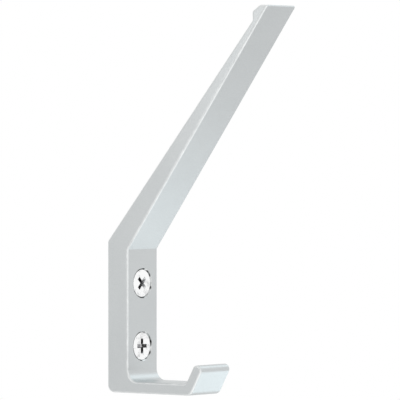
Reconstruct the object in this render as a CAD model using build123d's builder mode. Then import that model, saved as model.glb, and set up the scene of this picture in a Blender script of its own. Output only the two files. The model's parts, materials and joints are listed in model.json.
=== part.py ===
from build123d import *

import os
from math import cos, radians, sin

os.makedirs("parts", exist_ok=True)

# Hat and coat hook sawn from an extruded aluminium profile, held to a wall by two countersunk screws.
# Millimetres. The wall is the plane Y = 0, outward is -Y, up is +Z and the width runs along X.
# The origin lies on the wall, midway between the two screws.

# Profile of the plate
hook_width = 17.0
plate_thickness = 9.0
screw_spacing = 22.0
crease_above_screw = 11.9
underside_below_screw = 16.1
heel_radius = 2.6

# Raked upper arm, thick at the plate and thin at the tip
arm_rake = 35.9
arm_rise = 84.3
arm_root_thickness = 9.0
arm_tip_thickness = 1.7
crease_radius = 1.0
elbow_radius = 1.5

# Nose behind the tip, which keeps a loop from sliding off
nose_height = 2.0
nose_catch = 2.2
nose_length = 5.8
nose_end_height = 0.4
nose_radius = 1.1
tip_radius = 0.5

# Lower arm and its lip
lower_reach = 36.6
lower_thickness = 4.0
lip_lean = 29.0
lip_thickness = 3.7
lip_height = 8.8
root_radius = 4.0
throat_radius = 1.6
toe_radius = 2.6

# Rounding of the sawn edges all round both sides
edge_radius = 0.8

# Countersunk screws
screw_length = 40.0
head_diameter = 9.6
head_land = 0.2
head_sink = 0.25
head_angle = 90.0
neck_diameter = 3.7
thread_diameter = 5.0
point_length = 6.0
point_diameter = 0.6
bore_clearance = 0.25
seat_clearance = 0.03
cut_overrun = 0.5
recess_span = 5.2
recess_wing = 1.3
recess_depth = 2.5
recess_span_bottom = 2.4
recess_wing_bottom = 0.9
upper_screw_turn = 45.0
lower_screw_turn = 0.0

# Heights along the wall
screw_height = screw_spacing / 2
crease_height = screw_height + crease_above_screw
underside_height = -screw_height - underside_below_screw
top_height = crease_height + arm_rise

# Directions in the profile, where x is outward and y is up
rake = radians(arm_rake)
arm_along = Vector(sin(rake), cos(rake))
arm_out = Vector(cos(rake), -sin(rake))
lean = radians(lip_lean)
lip_along = Vector(sin(lean), cos(lean))
lip_out = Vector(cos(lean), -sin(lean))

# Corners of the upper arm. The front face runs straight from the crease to the level top.
crease = Vector(plate_thickness, crease_height)
elbow = Vector(0, crease_height + (arm_root_thickness - plate_thickness * cos(rake)) / sin(rake))
tip_front = crease + arm_along * (arm_rise / cos(rake))
back_end = tip_front - arm_out * arm_tip_thickness
back_along = (back_end - elbow).normalized()
back_out = Vector(-back_along.Y, back_along.X)

# Corners of the nose: a steep catch, then a gentle slope up to the level top
nose_peak = back_end - back_along * nose_length + back_out * nose_height
nose_foot = back_end - back_along * (nose_length + nose_catch)
slope_end = back_end + back_out * nose_end_height
nose_slope = slope_end - nose_peak
tip_back = nose_peak + nose_slope * ((top_height - nose_peak.Y) / nose_slope.Y)

# Corners of the lower arm and lip
heel = Vector(0, underside_height)
toe = Vector(lower_reach, underside_height)
floor_height = underside_height + lower_thickness
lip_radius = lip_thickness / 2
lip_run = (lip_height - lip_radius + lip_radius * sin(lean)) / cos(lean)
lip_outer = toe + lip_along * lip_run
lip_inner = lip_outer - lip_out * lip_thickness
lip_end = lip_outer - lip_out * lip_radius + lip_along * lip_radius
throat = lip_inner - lip_along * ((lip_inner.Y - floor_height) / cos(lean))
root = Vector(plate_thickness, floor_height)

# Each corner of the profile that is rounded, with its radius
rounded_corners = [
    (heel, heel_radius),
    (toe, toe_radius),
    (throat, throat_radius),
    (root, root_radius),
    (crease, crease_radius),
    (elbow, elbow_radius),
    (nose_foot, nose_radius),
    (nose_peak, nose_radius),
    (tip_back, tip_radius),
    (tip_front, tip_radius),
]

# Plane of the profile, seen from the left: x is outward from the wall and y is up
profile_plane = Plane(origin=(0, 0, 0), x_dir=(0, -1, 0), z_dir=(-1, 0, 0))

# Sizes of the countersink, in which the head sits a little below the plate's face
head_radius = head_diameter / 2
head_slope = cos(radians(head_angle / 2)) / sin(radians(head_angle / 2))
cone_height = (head_radius - neck_diameter / 2) * head_slope
bore_radius = thread_diameter / 2 + bore_clearance
rim_radius = head_radius + (head_land + head_sink + seat_clearance) / head_slope
screw_places = [(screw_height, upper_screw_turn), (-screw_height, lower_screw_turn)]


# The hook, drawn as its profile, extruded to its width and drilled for the screws
with BuildPart() as hook_body:
    with BuildSketch(profile_plane) as profile:
        with BuildLine():
            Polyline(lip_outer, toe, heel, elbow, nose_foot, nose_peak, tip_back, tip_front)
            Polyline(tip_front, crease, root, throat, lip_inner)
            ThreePointArc(lip_inner, lip_end, lip_outer)
        make_face()
        for corner, radius in rounded_corners:
            fillet(profile.vertices(Select.ALL).sort_by_distance(corner)[0], radius=radius)
    extrude(amount=hook_width / 2, both=True)
    sides = hook_body.faces().filter_by(Axis.X).sort_by(Axis.X)
    fillet(sides[0].edges() + sides[-1].edges(), radius=edge_radius)
    for height, turn in screw_places:
        with BuildSketch(Plane(origin=(0, -plate_thickness, height), x_dir=(1, 0, 0), z_dir=(0, 0, 1))):
            with BuildLine():
                Polyline(
                    (0, -cut_overrun),
                    (rim_radius + cut_overrun / head_slope, -cut_overrun),
                    (bore_radius, (rim_radius - bore_radius) * head_slope),
                    (bore_radius, plate_thickness + cut_overrun),
                    (0, plate_thickness + cut_overrun),
                    close=True,
                )
            make_face()
        revolve(axis=Axis((0, 0, height), (0, 1, 0)), mode=Mode.SUBTRACT)
hook_body.part.label = "hook_body"
export_step(hook_body.part, "parts/hook_body.step")


# One screw along its own axis: the top of the head at zero, the shank downward
thread_start = head_sink - plate_thickness
with BuildPart() as screw:
    with BuildSketch(Plane.XZ):
        with BuildLine():
            Polyline(
                (0, 0),
                (head_radius, 0),
                (head_radius, -head_land),
                (neck_diameter / 2, -head_land - cone_height),
                (neck_diameter / 2, thread_start),
                (thread_diameter / 2, thread_start),
                (thread_diameter / 2, point_length - screw_length),
                (point_diameter / 2, -screw_length),
                (0, -screw_length),
                close=True,
            )
        make_face()
    revolve(axis=Axis.Z)
    with BuildSketch(Plane.XY):
        Rectangle(recess_span, recess_wing)
        Rectangle(recess_wing, recess_span)
    with BuildSketch(Plane.XY.offset(-recess_depth)):
        Rectangle(recess_span_bottom, recess_wing_bottom)
        Rectangle(recess_wing_bottom, recess_span_bottom)
    loft(ruled=True, mode=Mode.SUBTRACT)

# Both screws in the plate, each turned as it came to rest
with BuildPart() as mounting_screws:
    for height, turn in screw_places:
        seat = Plane(
            origin=(0, head_sink - plate_thickness, height),
            x_dir=(cos(radians(turn)), 0, sin(radians(turn))),
            z_dir=(0, -1, 0),
        )
        with Locations(seat):
            add(screw.part)
mounting_screws.part.label = "mounting_screws"
export_step(mounting_screws.part, "parts/mounting_screws.step")
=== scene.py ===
"""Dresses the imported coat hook: satin anodised aluminium, threaded screws and a plain white stage."""

import json
import math

import bmesh
import bpy
from bpy.props import FloatProperty, FloatVectorProperty, PointerProperty
from bpy.types import Operator, Panel, PropertyGroup
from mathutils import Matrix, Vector


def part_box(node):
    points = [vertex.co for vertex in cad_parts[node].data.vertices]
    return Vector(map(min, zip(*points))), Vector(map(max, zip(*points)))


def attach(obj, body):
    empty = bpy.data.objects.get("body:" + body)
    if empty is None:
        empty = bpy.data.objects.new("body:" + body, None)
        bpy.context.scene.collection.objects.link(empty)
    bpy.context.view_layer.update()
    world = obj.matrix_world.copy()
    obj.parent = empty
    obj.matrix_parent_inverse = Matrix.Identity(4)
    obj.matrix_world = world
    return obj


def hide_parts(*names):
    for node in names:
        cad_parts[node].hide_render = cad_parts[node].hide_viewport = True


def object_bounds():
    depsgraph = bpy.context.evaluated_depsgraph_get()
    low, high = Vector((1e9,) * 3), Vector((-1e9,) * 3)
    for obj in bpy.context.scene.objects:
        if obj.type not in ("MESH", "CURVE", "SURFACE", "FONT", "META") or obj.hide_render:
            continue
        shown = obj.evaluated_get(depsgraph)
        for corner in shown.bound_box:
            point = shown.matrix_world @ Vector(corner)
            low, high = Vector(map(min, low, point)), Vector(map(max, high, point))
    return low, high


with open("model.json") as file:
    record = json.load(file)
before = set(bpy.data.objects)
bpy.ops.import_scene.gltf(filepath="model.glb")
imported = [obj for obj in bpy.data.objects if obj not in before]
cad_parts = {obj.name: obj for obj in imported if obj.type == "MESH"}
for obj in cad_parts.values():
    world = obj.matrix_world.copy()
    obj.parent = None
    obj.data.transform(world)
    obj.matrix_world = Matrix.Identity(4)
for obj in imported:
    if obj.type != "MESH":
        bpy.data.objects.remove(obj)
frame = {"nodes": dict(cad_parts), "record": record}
cad_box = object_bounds()

bl_info = {
    "name": "Coat hook",
    "version": (1, 0, 0),
    "blender": (4, 5, 0),
    "location": "3D View > Sidebar > Coat hook",
    "description": "Finishes, threaded screws and studio of a wall-mounted hat and coat hook",
    "category": "Object",
}

BODY = "root"
HOOK_NODE = "hook_body"
SCREW_NODE = "mounting_screws"
MILLIMETRE = 0.001
SENSOR_WIDTH_MM = 36.0

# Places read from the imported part
screw_mount = next(m for m in frame["record"]["mounts"] if m["name"] == "wall_screws")
screw_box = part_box(SCREW_NODE)
SCREW_SPACING = screw_mount["dims"]["spacing_y_mm"] * MILLIMETRE
THREAD_DIAMETER = 2 * screw_mount["dims"]["stud_r_mm"] * MILLIMETRE
HEAD_TOP = screw_box[0].y
SCREW_LENGTH = screw_box[1].y - screw_box[0].y
HEAD_DIAMETER = screw_box[1].x - screw_box[0].x


def length(name, description, default):
    """A size in metres, shown in the sidebar in the scene's own unit."""
    return FloatProperty(
        name=name, description=description, default=default, unit="LENGTH", precision=5, min=0.0
    )


def angle(name, description, degrees):
    """An angle, given here in degrees."""
    return FloatProperty(
        name=name, description=description, default=math.radians(degrees), subtype="ANGLE"
    )


def colour(name, description, default):
    """A linear colour."""
    return FloatVectorProperty(
        name=name, description=description, default=default, subtype="COLOR", size=3, min=0.0, max=1.0
    )


def share(name, description, default):
    """A number from nought to one."""
    return FloatProperty(
        name=name, description=description, default=default, min=0.0, max=1.0, subtype="FACTOR"
    )


def power(name, description, default):
    """The power of a lamp in watts."""
    return FloatProperty(name=name, description=description, default=default, min=0.0, unit="POWER")


class CoatHookFinish(PropertyGroup):
    """Colours and textures of the hook and its screws."""

    aluminium: colour("Aluminium", "Colour of the anodised aluminium", (0.610, 0.630, 0.633))
    aluminium_cool: colour("Aluminium, cooler", "Second tone of the anodising", (0.545, 0.567, 0.573))
    satin_low: share("Satin, smoothest", "Lowest roughness of the satin face", 0.34)
    satin_high: share("Satin, roughest", "Highest roughness of the satin face", 0.44)
    grain_size: length("Grain", "Size of the etched grain", 0.00022)
    die_line_pitch: length("Die line pitch", "Distance between the lines left by the die", 0.00045)
    saw_mark_pitch: length("Saw mark pitch", "Distance between the saw marks on the sides", 0.0006)
    saw_reach: length("Saw reach", "From the saw's axis, below the hook, to the plate's middle", 0.16)
    # The sawn edges' colour is partly wear and partly a painted highlight along the rounding
    edge_worn_highlight: colour("Edges, worn", "Colour of the sawn edges, rubbed by use", (0.80, 0.815, 0.815))
    edge_roughness: share("Edge roughness", "Roughness of the sawn edges, rubbed by use", 0.50)
    cut: colour("Cut metal", "Colour of the turned countersinks at their mouth", (0.60, 0.615, 0.615))
    # Painted shade in the gap between each screw head and its countersink
    groove: colour("Groove", "Colour down in the groove round each head", (0.015, 0.015, 0.016))
    groove_width: length("Groove width", "How far the groove's shade reaches from the head", 0.0004)
    cut_roughness: share("Cut roughness", "Roughness of the turned countersinks", 0.24)
    # The heads' plating is lighter than the metal's own tone, a painted highlight; the threads keep a
    # plainer tone
    plating: colour("Plating", "Colour of the bright plating on the screws", (0.955, 0.96, 0.96))
    plating_shank: colour("Plating, shank", "Colour of the plating on the threads", (0.52, 0.53, 0.54))
    plating_worn: colour("Plating, scuffed", "Colour of the scuffs in the plating", (0.60, 0.605, 0.61))
    plating_roughness: share("Plating roughness", "Roughness of the plating", 0.10)
    # The recess runs from the heads' lightened tone at its mouth to painted shade at its bottom
    recess_mouth: colour("Recess, mouth", "Colour near the head's face", (0.93, 0.93, 0.935))
    recess_bottom_shade: colour("Recess, bottom", "Colour of the grime deep in it", (0.25, 0.25, 0.26))


class CoatHookScrews(PropertyGroup):
    """Sizes of the countersunk screws."""

    spacing: length("Spacing", "Distance between the screws", SCREW_SPACING)
    head_diameter: length("Head diameter", "Across the head", HEAD_DIAMETER)
    head_land: length("Head land", "Straight rim of the head", 0.0002)
    rim_bevel: length("Rim bevel", "Rounding of the rim", 0.00008)
    mouth_diameter: length("Countersink mouth", "Across the countersink at the plate's face", 0.01058)
    neck_diameter: length("Neck diameter", "Plain shank under the head", 0.0037)
    neck_end: length("Neck end", "Where the thread starts, from the top of the head", -HEAD_TOP)
    thread_diameter: length("Thread diameter", "Across the crests of the thread", THREAD_DIAMETER)
    core_diameter: length("Core diameter", "Across the root of the thread", 0.0032)
    pitch: length("Pitch", "Rise of the thread in one turn", 0.0026)
    total_length: length("Length", "From the top of the head to the point", SCREW_LENGTH)
    point_length: length("Point length", "Length of the tapered point", 0.006)
    point_diameter: length("Point diameter", "Blunt end of the point", 0.0003)
    recess_span: length("Recess span", "Across opposite wings of the cross recess at its mouth", 0.0052)
    recess_wing: length("Recess wing", "Width of a wing at its mouth", 0.0013)
    recess_depth: length("Recess depth", "Depth of the cross recess", 0.0025)
    recess_span_bottom: length("Recess span, bottom", "Across the wings at the bottom", 0.0024)
    recess_wing_bottom: length("Recess wing, bottom", "Width of a wing at the bottom", 0.0009)
    upper_turn: angle("Upper turn", "How far the upper screw's recess is turned", 45.0)
    lower_turn: angle("Lower turn", "How far the lower screw's recess is turned", 0.0)


class CoatHookStage(PropertyGroup):
    """Camera, background, lamps and dark card."""

    azimuth: angle("Camera azimuth", "Round the object from straight in front", -52.1)
    elevation: angle("Camera elevation", "Above the horizon", 0.9)
    distance: length("Camera distance", "From the aim point", 1.575)
    lens: FloatProperty(
        name="Lens", description="Focal length in millimetres", default=405.0, unit="CAMERA"
    )
    aim: FloatVectorProperty(
        name="Aim", description="Point at the middle of the frame", subtype="XYZ", unit="LENGTH",
        default=(0.01284, -0.02448, 0.04010), precision=5,
    )
    white: colour("White", "Colour of the background", (1.0, 1.0, 1.0))
    floor_paint: colour("Floor", "Colour of the floor", (0.93, 0.93, 0.93))
    wall_gap: length("Wall gap", "How far the wall stands behind the plate", 0.0003)
    floor_drop: length("Floor drop", "How far the floor lies under the hook", 1.2)
    stage_size: length("Stage size", "Side of the wall and the floor", 5.0)
    card_paint: colour("Dark card", "Colour of the card beside the camera", (0.01, 0.01, 0.01))
    card_azimuth: angle("Card azimuth", "Where the card stands, from straight in front", -69.0)
    card_distance: length("Card distance", "From the screws' middle to the card", 0.5)
    card_width: length("Card width", "Across the card", 0.13)
    card_below: length("Card, below", "How far the card reaches below the screws' middle", 0.06)
    card_above: length("Card, above", "How far the card reaches above the screws' middle", 0.12)
    neutral_light: colour("Neutral light", "Colour of the lamps in front", (1.0, 1.0, 1.0))
    cool_light: colour("Cool light", "Colour of the lamps to the right", (0.78, 0.94, 1.0))
    key_power: power("Key lamp", "Soft lamp in front of the plate", 0.6)
    under_power: power("Under lamp", "Soft lamp below the arm", 0.45)
    top_power: power("Top lamp", "Soft lamp above, to the right", 0.4)
    lip_power: power("Lip lamp", "Small fill under the lip", 0.0060)
    elbow_power: power("Elbow lamp", "Small fill under the arm's root", 0.0080)
    side_power: power("Side lamp", "Narrow strip beside the arm", 0.010)


# Nodes

# Range in which most of a noise lies
NOISE_LOW = 0.3
NOISE_HIGH = 0.7
# Fineness of the noises, in features to a metre
DRIFT_FINENESS = 45.0
WEAR_FINENESS = 260.0
GROOVE_FINENESS = 480.0
SCUFF_FINENESS = 520.0
TUMBLING_FINENESS = 1800.0
RECESS_NOISE_FINENESS = 2600.0
# The die lines run along the width, so their noise is drawn out along X
DIE_LINE_SCALE = (0.02, 1.0, 1.0)
# A face counts as sawn where its normal's share along X goes from the first value to the second
SAWN_FACING = (0.9, 1.0)
# The same share where a sawn edge's rounding leaves the profile's face, and where it reaches the side
EDGE_START = (0.05, 0.35)
EDGE_END = (0.9, 0.995)
# Height of the bumps
SATIN_BUMP = 0.00004
TUMBLING_BUMP = 0.00003
# Noise values between which the plating turns from clean to scuffed
SCUFFED = (0.5, 0.68)


def new_material(name):
    """An empty node material and its tree."""
    material = bpy.data.materials.new(name)
    material.use_nodes = True
    material.node_tree.nodes.clear()
    return material, material.node_tree


def add_node(tree, kind, values=None, **settings):
    """A node of the tree with its settings and unlinked socket values."""
    node = tree.nodes.new(kind)
    for key, value in settings.items():
        setattr(node, key, value)
    for socket, value in (values or {}).items():
        node.inputs[socket].default_value = value
    return node


def feed(tree, value, socket):
    """Links another node's output to the socket, or sets a plain value on it."""
    if isinstance(value, bpy.types.NodeSocket):
        tree.links.new(value, socket)
    else:
        socket.default_value = value


def calculate(tree, operation, *terms, use_clamp=False):
    """The result of one operation on outputs of other nodes and plain numbers."""
    node = add_node(tree, "ShaderNodeMath", operation=operation, use_clamp=use_clamp)
    for slot, term in enumerate(terms):
        feed(tree, term, node.inputs[slot])
    return node.outputs["Value"]


def ramp(tree, source, start, end, low=0.0, high=1.0):
    """Goes from low to high as the source goes from start to end."""
    limits = {"From Min": start, "From Max": end, "To Min": low, "To Max": high}
    node = add_node(tree, "ShaderNodeMapRange", limits)
    tree.links.new(source, node.inputs["Value"])
    return node.outputs["Result"]


def spread(tree, source, low, high):
    """Stretches the middle of a noise to the range from low to high."""
    return ramp(tree, source, NOISE_LOW, NOISE_HIGH, low, high)


def mix(tree, kind, factor, first, second):
    """Goes from the first value to the second as the factor goes from nought to one."""
    node = add_node(tree, "ShaderNodeMix", data_type=kind)
    feed(tree, factor, node.inputs["Factor"])
    feed(tree, first, node.inputs["A"])
    feed(tree, second, node.inputs["B"])
    return node.outputs["Result"]


def mix_shaders(tree, factor, first, second):
    """The first shader where the factor is nought, the second where it is one."""
    node = add_node(tree, "ShaderNodeMixShader")
    for slot, source in enumerate((factor, first, second)):
        tree.links.new(source, node.inputs[slot])
    return node.outputs["Shader"]


def noise(tree, places, fineness, detail, roughness=0.5):
    """A noise over the given places."""
    values = {"Scale": fineness, "Detail": detail, "Roughness": roughness}
    node = add_node(tree, "ShaderNodeTexNoise", values)
    tree.links.new(places, node.inputs["Vector"])
    return node.outputs["Fac"]


def axes(tree, vector):
    """The outputs X, Y and Z of a vector."""
    node = add_node(tree, "ShaderNodeSeparateXYZ")
    tree.links.new(vector, node.inputs["Vector"])
    return node.outputs


def rgba(rgb):
    """A colour with full alpha."""
    return (rgb[0], rgb[1], rgb[2], 1.0)


# Metals

def new_metal(name):
    """A metal's material and tree, its texture coordinates and the inputs of its shader."""
    material, tree = new_material(name)
    place = add_node(tree, "ShaderNodeTexCoord").outputs
    shader = add_node(tree, "ShaderNodeBsdfPrincipled", {"Metallic": 1.0})
    output = add_node(tree, "ShaderNodeOutputMaterial")
    tree.links.new(shader.outputs["BSDF"], output.inputs["Surface"])
    return material, tree, place, shader.inputs


def add_bump(tree, surface, relief, strength, height):
    """Gives the surface a bump from a relief that goes from nought to about one."""
    bump = add_node(tree, "ShaderNodeBump", {"Strength": strength, "Distance": height})
    tree.links.new(relief, bump.inputs["Height"])
    tree.links.new(bump.outputs["Normal"], surface["Normal"])


def countersink_mask(tree, place, screws):
    """One in the plate's two countersinks, nought elsewhere, and the distance from the nearer axis."""
    at = axes(tree, place["Object"])
    height = calculate(tree, "ABSOLUTE", at["Z"])
    offset = calculate(tree, "SUBTRACT", height, screws.spacing / 2)
    across = add_node(tree, "ShaderNodeCombineXYZ")
    tree.links.new(at["X"], across.inputs["X"])
    tree.links.new(offset, across.inputs["Y"])
    from_axis = add_node(tree, "ShaderNodeVectorMath", operation="LENGTH")
    tree.links.new(across.outputs["Vector"], from_axis.inputs[0])
    reach = from_axis.outputs["Value"]
    cone_end = HEAD_TOP + screws.mouth_diameter / 4
    inside = calculate(tree, "LESS_THAN", reach, screws.mouth_diameter / 2)
    ahead = calculate(tree, "LESS_THAN", at["Y"], cone_end)
    return calculate(tree, "MULTIPLY", inside, ahead), reach


def turned_tone(tree, place, finish, rim, reach):
    """Colour of a turned countersink: uneven painted shade in the groove round the head, then cut metal.
    """
    uneven = noise(tree, place["Object"], GROOVE_FINENESS, detail=1.0)
    shift = spread(tree, uneven, low=-finish.groove_width, high=finish.groove_width)
    climb = ramp(tree, calculate(tree, "ADD", reach, shift), rim, rim + finish.groove_width)
    return mix(tree, "RGBA", climb, rgba(finish.groove), rgba(finish.cut))


def sideways(tree, place):
    """How far a surface looks along the width: nought on the profile's faces, one on the sawn sides."""
    facing = axes(tree, place["Normal"])
    return calculate(tree, "ABSOLUTE", facing["X"])


def sawn_sides(tree, place):
    """One on the two sides, where the profile was sawn to width, and nought on what the die formed."""
    return ramp(tree, sideways(tree, place), *SAWN_FACING)


def worn_highlit_edges(tree, place):
    """Up to one on the rounding of the sawn edges, in patches, and nought on the flats: the mask for
    wear and a painted highlight.
    """
    lean = sideways(tree, place)
    off_face = ramp(tree, lean, *EDGE_START)
    off_side = ramp(tree, lean, *EDGE_END, low=1.0, high=0.0)
    rounding = calculate(tree, "MULTIPLY", off_face, off_side)
    patches = noise(tree, place["Object"], WEAR_FINENESS, detail=3.0, roughness=0.6)
    return calculate(tree, "MULTIPLY", rounding, spread(tree, patches, low=0.35, high=1.0))


def saw_marks(tree, place, finish):
    """Arcs of uneven height about the axis of the saw."""
    saw_axis = (0.0, 0.0, -finish.saw_reach)
    reach = add_node(tree, "ShaderNodeVectorMath", {1: saw_axis}, operation="DISTANCE")
    tree.links.new(place["Object"], reach.inputs[0])
    count = calculate(tree, "DIVIDE", reach.outputs["Value"], finish.saw_mark_pitch)
    marks = add_node(tree, "ShaderNodeTexNoise", {"Scale": 1.0, "Detail": 2.0}, noise_dimensions="1D")
    tree.links.new(count, marks.inputs["W"])
    return marks.outputs["Fac"]


def die_lines(tree, place, finish):
    """Lines along the width, left by the die on the faces of the profile."""
    stretch = add_node(tree, "ShaderNodeMapping", {"Scale": DIE_LINE_SCALE})
    tree.links.new(place["Object"], stretch.inputs["Vector"])
    return noise(tree, stretch.outputs["Vector"], 1.0 / finish.die_line_pitch, detail=2.0)


def satin_aluminium(finish, screws):
    """Silver anodised aluminium: etched grain, die lines, saw marks, worn edges with a painted
    highlight, turned countersinks with painted shade round the heads.
    """
    material, tree, place, surface = new_metal("satin_aluminium")
    drift = noise(tree, place["Object"], DRIFT_FINENESS, detail=3.0, roughness=0.6)
    grain = noise(tree, place["Object"], 1.0 / finish.grain_size, detail=2.0, roughness=0.55)
    slow = spread(tree, drift, low=0.0, high=0.3)
    fine = spread(tree, grain, low=0.0, high=0.7)
    mottle = calculate(tree, "ADD", slow, fine, use_clamp=True)
    satin_tone = mix(tree, "RGBA", mottle, rgba(finish.aluminium), rgba(finish.aluminium_cool))
    # Wear and a painted highlight lighten the rounded sawn edges
    worn = worn_highlit_edges(tree, place)
    edged_tone = mix(tree, "RGBA", worn, satin_tone, rgba(finish.edge_worn_highlight))
    turned, reach = countersink_mask(tree, place, screws)
    # The countersinks' cut metal, with painted shade in the groove round each head
    cut_tone = turned_tone(tree, place, finish, screws.head_diameter / 2, reach)
    feed(tree, mix(tree, "RGBA", turned, edged_tone, cut_tone), surface["Base Color"])

    satin = spread(tree, grain, finish.satin_low, finish.satin_high)
    edged = mix(tree, "FLOAT", worn, satin, finish.edge_roughness)
    feed(tree, mix(tree, "FLOAT", turned, edged, finish.cut_roughness), surface["Roughness"])

    from_die = spread(tree, die_lines(tree, place, finish), low=0.0, high=0.6)
    from_saw = spread(tree, saw_marks(tree, place, finish), low=0.0, high=0.7)
    tool_lines = mix(tree, "FLOAT", sawn_sides(tree, place), from_die, from_saw)
    etched = spread(tree, grain, low=0.0, high=1.0)
    relief = calculate(tree, "ADD", etched, tool_lines)
    add_bump(tree, surface, relief, strength=0.3, height=SATIN_BUMP)
    return material


def plated_steel(finish, name, clean):
    """Plating on steel, with the faint marks of tumbling and a few scuffs."""
    material, tree, place, surface = new_metal(name)
    marks = noise(tree, place["Object"], TUMBLING_FINENESS, detail=3.0, roughness=0.6)
    scuffs = noise(tree, place["Object"], SCUFF_FINENESS, detail=4.0, roughness=0.65)
    worn = ramp(tree, scuffs, *SCUFFED)
    feed(tree, mix(tree, "RGBA", worn, rgba(clean), rgba(finish.plating_worn)), surface["Base Color"])
    smooth = finish.plating_roughness
    feed(tree, spread(tree, marks, low=0.8 * smooth, high=1.6 * smooth), surface["Roughness"])
    add_bump(tree, surface, marks, strength=0.08, height=TUMBLING_BUMP)
    return material


def plated_recess(finish, screws):
    """The plating in the cross recess, darker towards its bottom as painted shade."""
    material, tree, place, surface = new_metal("plated_recess")
    recess_noise = noise(tree, place["Object"], RECESS_NOISE_FINENESS, detail=3.0)
    at = axes(tree, place["Object"])
    # Painted shade: darker towards the recess's bottom, a little unevenly
    depth = ramp(tree, at["Y"], HEAD_TOP, HEAD_TOP + screws.recess_depth)
    uneven = spread(tree, recess_noise, low=-0.15, high=0.15)
    shade = calculate(tree, "ADD", depth, uneven, use_clamp=True)
    tone = mix(tree, "RGBA", shade, rgba(finish.recess_mouth), rgba(finish.recess_bottom_shade))
    feed(tree, tone, surface["Base Color"])
    feed(tree, spread(tree, recess_noise, low=0.08, high=0.16), surface["Roughness"])
    return material


# Screws

RING_STEPS = 48
# Places of the recess and the shank in a screw's list of materials, after the head's
RECESS_SLOT = 1
SHANK_SLOT = 2
# One turn of the thread from root to crest and back: share of the pitch, share of the thread's height
THREAD_FORM = ((0.0, 0.0), (0.22, 0.0), (0.42, 0.0), (0.57, 1.0), (0.62, 1.0), (0.78, 0.0), (0.90, 0.0))
# Slack between the merged ends of the helix, far below any size of the screw
WELD = 2e-7
# Middle of the rim's rounding, as a share of its bevel
BEVEL_MIDDLE = 0.3
# Small roundings where the cone meets the neck and the neck meets the thread
CONE_ROUNDING = 0.0003
NECK_STEP = 0.0004
# Shares of the recess's depth: how far its cutter stands above the head, and how far its floor dips
CUTTER_OVER = 0.1
RECESS_DISH = 0.15
# Edges sharper than this stay sharp when the rest is smoothed
SHARP_EDGE = math.radians(32.0)


def around(depth, radius, turn, centre_height):
    """A point of the screw: depth from the top of the head, radius and angle about its axis."""
    return Vector((
        radius * math.cos(turn),
        HEAD_TOP + depth,
        centre_height + radius * math.sin(turn),
    ))


def ring(mesh, depth, radius, centre_height):
    """One ring of vertices about the screw's axis."""
    turns = [2 * math.pi * step / RING_STEPS for step in range(RING_STEPS)]
    return [mesh.verts.new(around(depth, radius, turn, centre_height)) for turn in turns]


def join_rings(mesh, first, second):
    """A band of faces between two rings."""
    for step in range(RING_STEPS):
        after = (step + 1) % RING_STEPS
        mesh.faces.new((first[step], first[after], second[after], second[step]))


def add_head(mesh, screws, centre_height):
    """Head, cone and plain neck, as rings about the axis, open where the thread starts."""
    head_radius = screws.head_diameter / 2
    neck_radius = screws.neck_diameter / 2
    bevel = screws.rim_bevel
    cone_end = screws.head_land + head_radius - neck_radius
    outline = [
        (0.0, head_radius - bevel),
        (BEVEL_MIDDLE * bevel, head_radius - BEVEL_MIDDLE * bevel),
        (bevel, head_radius),
        (screws.head_land, head_radius),
        (cone_end - CONE_ROUNDING, neck_radius + CONE_ROUNDING),
        (cone_end, neck_radius + CONE_ROUNDING / 3),
        (cone_end + CONE_ROUNDING, neck_radius),
        (screws.neck_end - NECK_STEP, neck_radius),
        (screws.neck_end, screws.core_diameter / 2),
    ]
    rings = [ring(mesh, depth, radius, centre_height) for depth, radius in outline]
    for first, second in zip(rings, rings[1:]):
        join_rings(mesh, first, second)
    mesh.faces.new(list(reversed(rings[0])))


def thread_radius(screws, depth, height_share):
    """Radius of the thread at a depth: the core, and the crest between its run-in and its run-out."""
    core = screws.core_diameter / 2
    crest = screws.thread_diameter / 2 - core
    point_start = screws.total_length - screws.point_length
    run_in = min(1.0, max(0.0, (depth - screws.neck_end) / screws.pitch))
    taper = 1.0
    if depth > point_start:
        taper = max(0.0, (screws.total_length - depth) / screws.point_length)
    blunt = screws.point_diameter / 2
    return blunt + (core - blunt) * taper + crest * height_share * run_in * taper


def add_thread(mesh, screws, centre_height):
    """The threaded shank: rows that climb with the helix, clipped level at both ends."""
    turns = math.ceil((screws.total_length - screws.neck_end) / screws.pitch) + 1
    rows = []
    for whole in range(-1, turns):
        rows += [(whole + part, height_share) for part, height_share in THREAD_FORM]
    grid = []
    for part, height_share in rows:
        row = []
        for step in range(RING_STEPS + 1):
            climb = part + step / RING_STEPS
            depth = screws.neck_end + screws.pitch * climb
            depth = min(screws.total_length, max(screws.neck_end, depth))
            radius = thread_radius(screws, depth, height_share)
            turn = 2 * math.pi * step / RING_STEPS
            row.append(mesh.verts.new(around(depth, radius, turn, centre_height)))
        grid.append(row)
    for first, second in zip(grid, grid[1:]):
        for step in range(RING_STEPS):
            face = mesh.faces.new((first[step], first[step + 1], second[step + 1], second[step]))
            face.material_index = SHANK_SLOT


def screw_mesh(screws, name, centre_height):
    """The whole screw before its recess is cut, as one closed mesh."""
    mesh = bmesh.new()
    add_head(mesh, screws, centre_height)
    add_thread(mesh, screws, centre_height)
    bmesh.ops.remove_doubles(mesh, verts=mesh.verts[:], dist=WELD)
    bmesh.ops.dissolve_degenerate(mesh, dist=WELD, edges=mesh.edges[:])
    open_edges = [edge for edge in mesh.edges if edge.is_boundary]
    bmesh.ops.holes_fill(mesh, edges=open_edges, sides=0)
    bmesh.ops.recalc_face_normals(mesh, faces=mesh.faces[:])
    data = bpy.data.meshes.new(name)
    mesh.to_mesh(data)
    mesh.free()
    return data


def cross_outline(span, wing):
    """The twelve corners of a cross, in order."""
    far, near = span / 2, wing / 2
    quarter = [(far, -near), (far, near), (near, near)]
    corners = []
    for step in range(4):
        cos_turn = round(math.cos(step * math.pi / 2))
        sin_turn = round(math.sin(step * math.pi / 2))
        corners += [(x * cos_turn - y * sin_turn, x * sin_turn + y * cos_turn) for x, y in quarter]
    return corners


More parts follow.
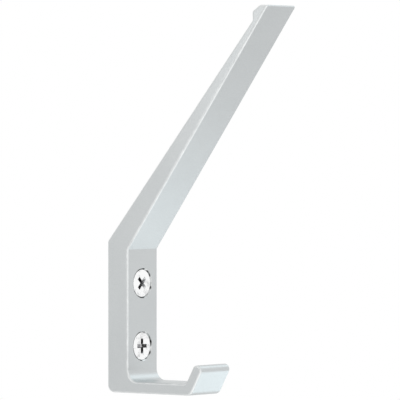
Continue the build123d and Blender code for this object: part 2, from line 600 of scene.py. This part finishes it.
def recess_cutter(screws, name, centre_height, turn):
    """The tapered cross that is taken out of the head."""
    mesh = bmesh.new()
    levels = []
    for share_down in (-CUTTER_OVER, 1.0):
        depth = screws.recess_depth * share_down
        span = screws.recess_span + (screws.recess_span_bottom - screws.recess_span) * share_down
        wing = screws.recess_wing + (screws.recess_wing_bottom - screws.recess_wing) * share_down
        level = []
        for x, y in cross_outline(span, wing):
            reach = math.hypot(x, y)
            bearing = math.atan2(y, x) + turn
            level.append(mesh.verts.new(around(depth, reach, bearing, centre_height)))
        levels.append(level)
    mouth, bottom = levels
    tip_depth = screws.recess_depth * (1 + RECESS_DISH)
    tip = mesh.verts.new(around(tip_depth, 0.0, 0.0, centre_height))
    count = len(mouth)
    mesh.faces.new(mouth)
    for step in range(count):
        after = (step + 1) % count
        mesh.faces.new((mouth[step], mouth[after], bottom[after], bottom[step]))
        mesh.faces.new((bottom[step], bottom[after], tip))
    for face in mesh.faces:
        face.material_index = RECESS_SLOT
    bmesh.ops.recalc_face_normals(mesh, faces=mesh.faces[:])
    data = bpy.data.meshes.new(name)
    mesh.to_mesh(data)
    mesh.free()
    return data


def make_screw(screws, materials, name, centre_height, turn):
    """One screw with its recess cut, riding on the hook."""
    collection = bpy.context.scene.collection
    blank_data = screw_mesh(screws, name + "_blank", centre_height)
    cutter_data = recess_cutter(screws, name + "_cutter", centre_height, turn)
    blank = bpy.data.objects.new(name + "_blank", blank_data)
    cutter = bpy.data.objects.new(name + "_cutter", cutter_data)
    for part in (blank, cutter):
        collection.objects.link(part)
        for material in materials:
            part.data.materials.append(material)
    cut = blank.modifiers.new("recess", "BOOLEAN")
    cut.operation = "DIFFERENCE"
    cut.solver = "EXACT"
    cut.object = cutter
    evaluated = blank.evaluated_get(bpy.context.evaluated_depsgraph_get())
    data = bpy.data.meshes.new_from_object(evaluated)
    data.name = name
    if not any(face.material_index == RECESS_SLOT for face in data.polygons):
        raise RuntimeError("The recess of " + name + " was not cut.")
    for part in (blank, cutter):
        spare = part.data
        bpy.data.objects.remove(part)
        bpy.data.meshes.remove(spare)
    data.shade_smooth()
    data.set_sharp_from_angle(angle=SHARP_EDGE)
    screw = bpy.data.objects.new(name, data)
    collection.objects.link(screw)
    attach(screw, BODY)
    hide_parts(SCREW_NODE)


# Stage

def stage_plane(name, corners, material):
    """One flat rectangle of the stage."""
    mesh = bmesh.new()
    mesh.faces.new([mesh.verts.new(corner) for corner in corners])
    data = bpy.data.meshes.new(name)
    mesh.to_mesh(data)
    mesh.free()
    data.materials.append(material)
    plane = bpy.data.objects.new(name, data)
    bpy.context.scene.collection.objects.link(plane)
    return plane


def seen_rays(tree, path):
    """One for rays that show the background: from the camera, off metal or through glass."""
    direct = calculate(tree, "ADD", path["Is Camera Ray"], path["Is Glossy Ray"], use_clamp=True)
    return calculate(tree, "ADD", direct, path["Is Transmission Ray"], use_clamp=True)


def wall_material(stage):
    """A white wall from the room's side. From behind, and for shadows, there is nothing there."""
    material, tree = new_material("white_wall")
    path = add_node(tree, "ShaderNodeLightPath").outputs
    glow = add_node(tree, "ShaderNodeEmission", {"Color": rgba(stage.white), "Strength": 1.0})
    paint = add_node(tree, "ShaderNodeBsdfDiffuse", {"Color": rgba(stage.floor_paint)})
    front = mix_shaders(tree, seen_rays(tree, path), paint.outputs["BSDF"], glow.outputs["Emission"])
    clear = add_node(tree, "ShaderNodeBsdfTransparent")
    sides = add_node(tree, "ShaderNodeNewGeometry")
    away = calculate(tree, "MAXIMUM", sides.outputs["Backfacing"], path["Is Shadow Ray"])
    output = add_node(tree, "ShaderNodeOutputMaterial")
    feed(tree, mix_shaders(tree, away, front, clear.outputs["BSDF"]), output.inputs["Surface"])
    return material


def floor_material(stage):
    """A plain pale floor that takes the shadow, and shows its own paint in the metal."""
    material, tree = new_material("pale_floor")
    path = add_node(tree, "ShaderNodeLightPath").outputs
    paint = add_node(tree, "ShaderNodeBsdfDiffuse", {"Color": rgba(stage.floor_paint)})
    glow = add_node(tree, "ShaderNodeEmission", {"Color": rgba(stage.floor_paint), "Strength": 1.0})
    seen = mix_shaders(tree, path["Is Glossy Ray"], paint.outputs["BSDF"], glow.outputs["Emission"])
    output = add_node(tree, "ShaderNodeOutputMaterial")
    feed(tree, seen, output.inputs["Surface"])
    return material


def white_room(stage):
    """A plain white world, which gives most of the light."""
    world = bpy.data.worlds.new("white_room")
    world.use_nodes = True
    tree = world.node_tree
    tree.nodes.clear()
    white = add_node(tree, "ShaderNodeBackground", {"Color": rgba(stage.white), "Strength": 1.0})
    output = add_node(tree, "ShaderNodeOutputWorld")
    feed(tree, white.outputs["Background"], output.inputs["Surface"])
    bpy.context.scene.world = world


def soft_lamp(name, place, target, size, watts, light):
    """A rectangular lamp that the camera doesn't see."""
    lamp = bpy.data.lights.new(name, "AREA")
    lamp.shape = "RECTANGLE"
    lamp.size, lamp.size_y = size
    lamp.energy = watts
    lamp.color = light
    holder = bpy.data.objects.new(name, lamp)
    holder.location = place
    holder.rotation_euler = (target - place).to_track_quat("-Z", "Y").to_euler()
    holder.visible_camera = False
    bpy.context.scene.collection.objects.link(holder)


def light_stage(stage):
    """Three large soft lamps, and three small ones near the lip, the elbow and the arm's side."""
    aim = Vector(stage.aim)
    neutral = stage.neutral_light
    cool = stage.cool_light
    soft_lamp(
        "key_lamp", place=aim + Vector((-0.112, -0.693, -0.028)), target=aim,
        size=(0.7, 0.7), watts=stage.key_power, light=neutral,
    )
    soft_lamp(
        "under_lamp", place=aim + Vector((0.0, -0.25, -0.435)), target=aim,
        size=(0.5, 0.5), watts=stage.under_power, light=neutral,
    )
    soft_lamp(
        "top_lamp", place=Vector((0.5, -0.12, 0.45)), target=aim,
        size=(0.5, 0.4), watts=stage.top_power, light=cool,
    )
    soft_lamp(
        "lip_lamp", place=Vector((0.077, -0.075, -0.080)), target=Vector((0.0, -0.040, -0.02)),
        size=(0.05, 0.05), watts=stage.lip_power, light=cool,
    )
    soft_lamp(
        "elbow_lamp", place=Vector((0.158, -0.045, -0.087)), target=Vector((0.0, -0.015, 0.03)),
        size=(0.08, 0.08), watts=stage.elbow_power, light=cool,
    )
    soft_lamp(
        "side_lamp", place=Vector((-0.09, -0.012, 0.08)), target=Vector((-0.01, -0.05, 0.08)),
        size=(0.05, 0.12), watts=stage.side_power, light=neutral,
    )


def towards(azimuth, elevation):
    """The direction from the hook to a place at that azimuth and elevation."""
    return Vector((
        math.sin(azimuth) * math.cos(elevation),
        -math.cos(azimuth) * math.cos(elevation),
        math.sin(elevation),
    ))


def dark_card(stage):
    """A dark card beside the camera and unseen by it, which shows in the bright plating."""
    material, tree = new_material("dark_card")
    paint = add_node(tree, "ShaderNodeBsdfDiffuse", {"Color": rgba(stage.card_paint)})
    output = add_node(tree, "ShaderNodeOutputMaterial")
    feed(tree, paint.outputs["BSDF"], output.inputs["Surface"])
    middle = towards(stage.card_azimuth, 0.0) * stage.card_distance
    across = Vector((math.cos(stage.card_azimuth), math.sin(stage.card_azimuth), 0.0))
    left = middle - across * stage.card_width / 2
    right = middle + across * stage.card_width / 2
    below = Vector((0.0, 0.0, -stage.card_below))
    above = Vector((0.0, 0.0, stage.card_above))
    card = stage_plane("card", (left + below, right + below, right + above, left + above), material)
    card.visible_camera = False


def place_camera(stage):
    """The photograph's viewpoint."""
    data = bpy.data.cameras.new("photo_camera")
    data.sensor_width = SENSOR_WIDTH_MM
    data.lens = stage.lens
    data.clip_start = 0.05
    data.clip_end = 20.0
    camera = bpy.data.objects.new("photo_camera", data)
    back = towards(stage.azimuth, stage.elevation)
    camera.location = Vector(stage.aim) + back * stage.distance
    camera.rotation_euler = (-back).to_track_quat("-Z", "Y").to_euler()
    bpy.context.scene.collection.objects.link(camera)
    bpy.context.scene.camera = camera


# Operators, one for each piece or group and one for the stage

class COATHOOK_OT_dress_body(Operator):
    """Gives the sawn aluminium profile its satin anodised finish"""

    bl_idname = "coat_hook.dress_body"
    bl_label = "Dress the hook"

    def execute(self, context):
        body = frame["nodes"][HOOK_NODE]
        body.data.materials.clear()
        finish = context.scene.coat_hook_finish
        body.data.materials.append(satin_aluminium(finish, context.scene.coat_hook_screws))
        return {"FINISHED"}


class COATHOOK_OT_make_screws(Operator):
    """Makes both countersunk screws with their threads and cross recesses"""

    bl_idname = "coat_hook.make_screws"
    bl_label = "Make the screws"

    def execute(self, context):
        screws = context.scene.coat_hook_screws
        finish = context.scene.coat_hook_finish
        materials = (
            # The heads' plating, lightened as a painted highlight
            plated_steel(finish, "head_plating_highlight", finish.plating),
            plated_recess(finish, screws),
            plated_steel(finish, "shank_plating", finish.plating_shank),
        )
        make_screw(screws, materials, "upper_screw", screws.spacing / 2, screws.upper_turn)
        make_screw(screws, materials, "lower_screw", -screws.spacing / 2, screws.lower_turn)
        return {"FINISHED"}


class COATHOOK_OT_set_stage(Operator):
    """Sets up the white wall, the floor, the lamps, the dark card and the camera"""

    bl_idname = "coat_hook.set_stage"
    bl_label = "Set the stage"

    def execute(self, context):
        stage = context.scene.coat_hook_stage
        half = stage.stage_size / 2
        corners = ((-half, -half), (half, -half), (half, half), (-half, half))
        floor_z = cad_box[0].z - stage.floor_drop
        stage_plane("wall", [(x, stage.wall_gap, z) for x, z in corners], wall_material(stage))
        stage_plane("floor", [(x, y, floor_z) for x, y in corners], floor_material(stage))
        white_room(stage)
        light_stage(stage)
        dark_card(stage)
        place_camera(stage)
        context.scene.view_settings.view_transform = "Standard"
        return {"FINISHED"}


class COATHOOK_PT_sidebar(Panel):
    """Lists the pieces of the coat hook and their sizes"""

    bl_idname = "COATHOOK_PT_sidebar"
    bl_label = "Coat hook"
    bl_space_type = "VIEW_3D"
    bl_region_type = "UI"
    bl_category = "Coat hook"

    def draw(self, context):
        groups = (
            (COATHOOK_OT_dress_body, context.scene.coat_hook_finish),
            (COATHOOK_OT_make_screws, context.scene.coat_hook_screws),
            (COATHOOK_OT_set_stage, context.scene.coat_hook_stage),
        )
        for operator, settings in groups:
            box = self.layout.box()
            box.operator(operator.bl_idname)
            for key in type(settings).__annotations__:
                box.prop(settings, key)


CLASSES = (
    CoatHookFinish,
    CoatHookScrews,
    CoatHookStage,
    COATHOOK_OT_dress_body,
    COATHOOK_OT_make_screws,
    COATHOOK_OT_set_stage,
    COATHOOK_PT_sidebar,
)
SETTINGS = {
    "coat_hook_finish": CoatHookFinish,
    "coat_hook_screws": CoatHookScrews,
    "coat_hook_stage": CoatHookStage,
}


def register():
    """Adds the classes and their settings to Blender."""
    for cls in CLASSES:
        bpy.utils.register_class(cls)
    for name, group in SETTINGS.items():
        setattr(bpy.types.Scene, name, PointerProperty(type=group))


def unregister():
    """Takes the settings and classes out again."""
    for name in SETTINGS:
        delattr(bpy.types.Scene, name)
    for cls in reversed(CLASSES):
        bpy.utils.unregister_class(cls)


def main():
    """Makes every piece in order."""
    register()
    bpy.ops.coat_hook.dress_body()
    bpy.ops.coat_hook.make_screws()
    bpy.ops.coat_hook.set_stage()


if __name__ == "__main__":
    main()
